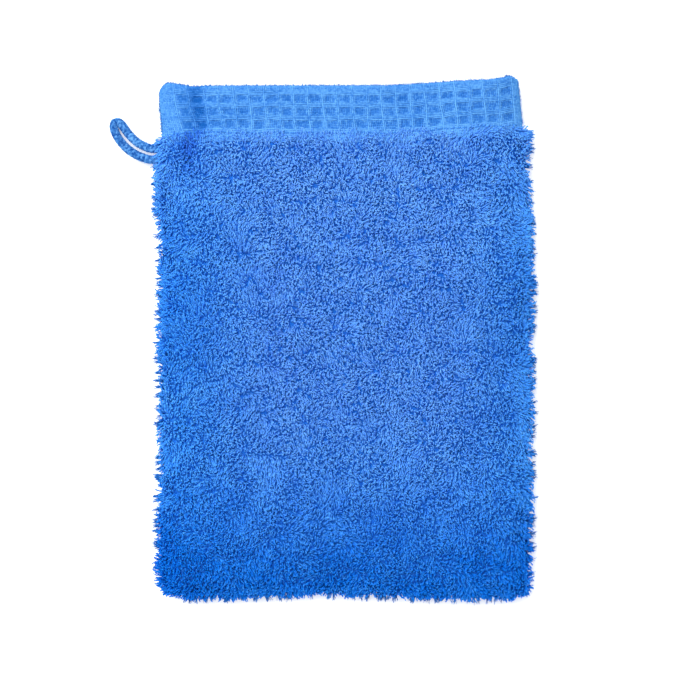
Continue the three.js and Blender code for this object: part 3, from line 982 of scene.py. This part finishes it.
def on_border(side, thread, path, sink):
    """A point in the waffle cloth. thread is its lengthwise thread's place across the middle of
    the border, and path runs up from the pile, round the fold and back down inside the mouth.
    sink is how deep the point lies under the cloth's outer face."""
    angle = np.clip((path - TURN) / FOLD, 0, math.pi)
    inside = np.maximum(path - TURN - math.pi * FOLD, 0)
    along = np.minimum(path, TURN) + (FOLD - sink) * np.sin(angle) - inside
    depth = FOLD - (FOLD - sink) * np.cos(angle)
    left, right = border_edges(along)
    middle_left, middle_right = border_edges(MIDDLE)
    inset = (thread - middle_left) / 9
    share = (thread - middle_left) / (middle_right - middle_left)
    x = left + (right - left) * share + 0.2 * inset * np.exp(1 - inset) * (MIDDLE - along)
    slope = (border_height(side, x + 0.1, along) - border_height(side, x - 0.1, along)) / 0.2
    steep = np.hypot(slope, 1)
    wander = np.interp(thread, *np.array(MOUTH_WANDER).T)
    wander = wander * soft_step(along, 0.5 * TURN, BORDER_LENGTH)
    inner = soft_step(share * (1 - share), 0, 0.05)
    x = x + 0.4 * inner * smooth_noise(SEED + 8, 5.0)(thread, path)
    y = BORDER_START + along + mouth_rise(x) + wander
    y = y + 0.4 * inner * soft_step(TURN - path, 0, 3) * smooth_noise(SEED + 9, 5.0)(thread, path)
    z = border_height(side, x, along) - side * depth / steep
    flutter = 0.3 * smooth_noise(SEED + 7 + side, 16.0)(x, along)
    z = z + flutter * inner
    return np.stack(np.broadcast_arrays(x + side * depth * slope / steep, y, z), -1)


def cell_phase(thread, path):
    """How far a point is from the middle of its sunk cell, from 0 to 0.5 of a cell each way."""
    column = (thread - FIRST_COLUMN) / CELL_WIDTH
    row = (path - FIRST_ROW) / CELL_HEIGHT
    return np.abs(column - np.round(column)), np.abs(row - np.round(row))


def in_waffle(thread, path):
    """True where the cloth is woven in cells, and False along its plain edges."""
    end = FIRST_COLUMN + (LAST_COLUMN + 0.5) * CELL_WIDTH
    across = (thread > FIRST_COLUMN - CELL_WIDTH / 2 - 0.1) & (thread < end + 0.1)
    return across & (path > FIRST_ROW - CELL_HEIGHT / 2)


def cell_sink(thread, path):
    """How far the cloth is sunk: about 1 in the middle of each cell and 0 on the ribs between
    them. The cells grow faint just before the fold."""
    column, row = cell_phase(thread, path)
    ragged = 0.06 * smooth_noise(SEED + 23, 0.9)(thread, path)
    deep = 1 - soft_step(column + ragged, 0.26, 0.42)
    deep = deep * (1 - soft_step(row + ragged, 0.18, 0.37))
    deep = deep * (1 + 0.2 * smooth_noise(SEED + 26, 4.0)(thread, path))
    return deep * in_waffle(thread, path) * (1 - 0.8 * soft_step(path, TURN - 2.6, TURN - 1.2))


def lengthwise_on_top(thread, path):
    """1 where the lengthwise thread passes over the crosswise one, and -1 where it passes under:
    over all of them on an upright rib, under them on a level rib, and by turns elsewhere."""
    column, row = cell_phase(thread, path)
    place = (thread - FIRST_COLUMN) / CELL_WIDTH + (path - FIRST_ROW) / CELL_HEIGHT
    turns = 1 - 2 * (np.round(place * THREADS) % 2)
    ribbed = np.where(column > 0.38, 1, np.where(row > 0.33, -1, turns))
    return np.where(in_waffle(thread, path), ribbed, turns)


def make_backing(side, name, start, end, sink, relief, thickness):
    """The closed cloth that the raised threads lie on, sunk as deep as sink, and in the cells
    deeper by relief."""
    left, right = border_edges(MIDDLE)
    thread = np.linspace(left, right, 240)
    path = np.linspace(start, end, int((end - start) / 0.45))[:, None]
    grid = on_border(side, thread, path, sink + relief * cell_sink(thread, path))
    if side < 0:
        grid = grid[:, ::-1]
    points, faces = thick_sheet(grid, thickness)
    return make_piece(name, points, faces, WAFFLE_COTTON, tone=0.5)


def make_threads(side, name, thread, path, direction):
    """Threads woven over and under each other, as many as thread and path have rows, with a point
    at each crossing and one halfway. direction is 1 for the lengthwise ones and -1 otherwise."""
    over = lengthwise_on_top(thread, path) * direction
    deep = cell_sink(thread, path)
    crossings = np.stack(np.broadcast_arrays(thread, path, over, deep), -1)
    route = np.empty((over.shape[0], over.shape[1] * 2 - 1, 4))
    route[:, ::2] = crossings
    route[:, 1::2] = (crossings[:, 1:] + crossings[:, :-1]) / 2
    thread, path, over, deep = np.moveaxis(route, -1, 0)
    uneven = smooth_noise(SEED + 9 + side + direction, 0.8)(thread, path)
    sink = THREAD_RADIUS + 0.15 * (1 - over) + CELL_DEPTH * deep + 0.09 * uneven
    paths = on_border(side, thread, path, sink)
    plain = 0.14 * (1 - soft_step(path, 1.2, 3.0))
    grain = smooth_noise(SEED + 24, 0.5)(thread, path)
    own = np.random.default_rng(SEED + 25).normal(0, 0.05, (len(thread), 1))
    # Painted shade: the threads are darker in the sunk cells and where they pass under a crossing
    # thread; the rest varies at random.
    tone = 0.70 - 0.31 * deep + 0.08 * over + 0.16 * uneven + 0.24 * grain + own + plain
    # Painted shade on the underside of the fold, past its crest.
    under = 0.35 * soft_step(path, TURN + 0.5 * FOLD, TURN + 1.4 * FOLD)
    tone = tone + broad_tone_and_painted_shade(paths[..., 0], paths[..., 1]) - under
    flat = (1.0, 0.0, 0.0) if direction > 0 else (0.0, 0.0, 1.0)
    points, skin, caps = tubes(paths, THREAD_RADIUS, 4, flat)
    faces = np.concatenate([skin, *caps])
    tone = np.repeat(tone, 4)
    piece = make_piece(name, points, faces, WAFFLE_COTTON, tone=tone)
    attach(piece, "mitt")
    return piece


def make_border(word, side):
    """One waffle border: the backing cloth, the turn-up inside it and the threads woven on it."""
    left, right = border_edges(MIDDLE)
    fold_end = TURN + math.pi * FOLD
    # Where each cloth starts and ends, how deep it and its cells are sunk, and its thickness.
    outer = (-OVERLAP, fold_end + 2, 0.86, CELL_DEPTH, 0.2)
    inner = (fold_end + 0.5, fold_end + TURN - 1, 0.3, 0.25, 0.3)
    backing = make_backing(side, f"{word}_border_cloth", *outer)
    turnup = make_backing(side, f"{word}_border_turnup", *inner)
    pitch = CELL_WIDTH / THREADS
    first = math.ceil((left - FIRST_COLUMN + 0.2) / pitch)
    final = math.floor((right - FIRST_COLUMN - 0.2) / pitch)
    columns = FIRST_COLUMN + pitch * np.arange(first, final + 1)
    columns = np.concatenate([[left], columns, [right]])
    step = CELL_HEIGHT / THREADS
    first = math.ceil((-OVERLAP - FIRST_ROW) / step)
    picks = FIRST_ROW + step * np.arange(first, int((fold_end + 2 - FIRST_ROW) / step))
    warp, weft = f"{word}_border_warp", f"{word}_border_weft"
    lengthwise = make_threads(side, warp, columns[1:-1, None], picks[None, :], 1)
    crosswise = make_threads(side, weft, columns[None, :], picks[:, None], -1)
    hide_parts(f"{word}_waffle_border", f"{word}_hem_turnup")
    for piece in (backing, turnup):
        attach(piece, "mitt")
    make_edge_fuzz(word, side, left, right)


def make_edge_fuzz(word, side, left, right):
    """Short fibres along the border's folded edge and its two side edges."""
    rng = np.random.default_rng(SEED + 18 + side)
    counts = (FOLD_HAIRS, SIDE_HAIRS, SIDE_HAIRS)
    fold = rng.uniform(left + 0.5, right - 0.5, FOLD_HAIRS)
    thread = np.concatenate([fold, np.repeat([left, right], SIDE_HAIRS)])
    crest = np.full(FOLD_HAIRS, TURN + FOLD * math.pi / 2)
    path = np.concatenate([crest, rng.uniform(2, TURN, 2 * SIDE_HAIRS)])
    ways = np.repeat([(0, 1.0, 0.2 * side), (-1.0, 0, 0), (1.0, 0, 0)], counts, axis=0)
    roots = on_border(side, thread, path, np.repeat([0.1, 0.6, 0.6], counts))
    sizes, seed = ((0.25, 0.8), (0.08, 0.15)), SEED + 19 + side
    make_hairs(f"{word}_border_fuzz", roots, ways, *sizes, WAFFLE_COTTON, "mitt", seed)


def make_stitches(word, side):
    """A row of lock stitches on the plain stripe, each a short thread sunk at both ends."""
    pitch, row_at = 2.6, 1.2
    share = np.linspace(0, 1, 7)
    left, right = border_edges(0)
    starts = np.arange(left + 3, right - 3 - pitch, pitch)
    thread = starts[:, None] + 0.15 + (pitch - 0.5) * share
    paths = on_border(side, thread, row_at, 0.25 - 0.35 * np.sin(math.pi * share))
    row = tube_piece(f"{word}_stitches", paths, 0.17, 8, THREAD_COTTON, tone=0.6)
    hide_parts(f"{word}_hem_stitch")
    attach(row, "mitt")


# ---- Seam allowances and overlock thread ----

ALLOWANCE_WIDTH, ALLOWANCE_THICKNESS = 7.2, 0.62
LAYER_HEIGHT = 0.42  # how far each of the two raw layers lies from the middle of the seam
# One overlock stitch: how far across, how far along the seam and how high it is, as shares.
OVERLOCK_STITCH = (
    (0, 0, 1), (0.5, 0.22, 1), (1, 0.45, 0.8), (1.1, 0.5, 0),
    (1, 0.55, -0.8), (0.5, 0.78, -1), (0, 1, -1),
)


def make_allowance(name, node, line, inward):
    """The two raw layers inside a seam. line is where the seam is sewn, and inward the direction
    of the raw edge from it."""
    across = np.linspace(0, ALLOWANCE_WIDTH, 9)
    base = line[:, None] + inward * across[None, :, None]
    if inward[0] < 0:
        base = base[:, ::-1]
    elif inward[1] > 0:
        base = base.swapaxes(0, 1)
    layers = []
    for sign in (1, -1):
        grid = base.copy()
        ripple = 0.10 * np.sin(0.55 * (grid[..., 0] + grid[..., 1]) + sign)
        grid[..., 2] += LAYER_HEIGHT * sign + ripple
        points, faces = thick_sheet(grid, ALLOWANCE_THICKNESS)
        layers.append((points, faces, np.full(len(points), 0.75)))
    points, faces, tone = joined(layers)
    piece = make_piece(name, points, faces, GROUND_COTTON, tone=tone)
    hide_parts(node)
    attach(piece, "mitt")


def make_overlock(name, node, line, inward):
    """Thread that crosses the allowance, goes round its raw edge and comes back underneath."""
    pitch, reach, width, height = 2.3, 7.45, 2.4, 1.12
    count = int(distances_along(line)[-1] / pitch) - 1
    across, along, upward = np.array(OVERLOCK_STITCH).T
    base = points_along(line, (np.arange(count)[:, None] + along) * pitch + 0.5)
    out = reach - width * (1 - across)
    paths = base + inward * out[None, :, None]
    paths[..., 2] += height * upward
    paths = np.stack([spline(path, 4) for path in paths])
    piece = tube_piece(name, paths, 0.2, 6, THREAD_COTTON, tone=0.6)
    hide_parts(node)
    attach(piece, "mitt")


def side_seam(side, word):
    """The line that a side seam is sewn along, drawn in beside the border."""
    low, high = node_box(f"{word}_seam_allowance")
    y = np.linspace(low[1], high[1], 90)
    x = np.full_like(y, low[0] if side < 0 else high[0])
    y = np.minimum(y, BORDER_START + BORDER_LENGTH - 1.5 + mouth_rise(x))
    if side > 0:
        x -= 2.4 * np.clip((y - BORDER_START + 9) / 12, 0, 1)
        x -= BORDER_TAPER * np.clip((y - BORDER_START) / BORDER_LENGTH, 0, 1)
    return np.stack([x + stray(x, y)[0], y, np.full_like(y, SEAM_HEIGHT)], -1)


def bottom_seam():
    """The line that the bottom seam is sewn along."""
    low, high = node_box("bottom_seam_allowance")
    x = np.linspace(low[0], high[0], 60)
    return np.stack([x, low[1] + stray(x, low[1])[1], np.full_like(x, SEAM_HEIGHT)], -1)


def make_seams():
    """The cloth and the overlock thread inside the two side seams and the bottom seam."""
    seams = (
        ("left", side_seam(-1, "left"), (1.0, 0, 0)),
        ("right", side_seam(1, "right"), (-1.0, 0, 0)),
        ("bottom", bottom_seam(), (0, 1.0, 0)),
    )
    for word, line, inward in seams:
        make_allowance(f"{word}_seam_cloth", f"{word}_seam_allowance", line, inward)
        make_overlock(f"{word}_seam_thread", f"{word}_overlock_thread", line, inward)


make_camera()
make_hanging_loop()
make_studio()
make_floor()
make_loop_anchor()
make_terry()
for word, side in (("front", 1), ("back", -1)):
    make_border(word, side)
    make_stitches(word, side)
make_seams()
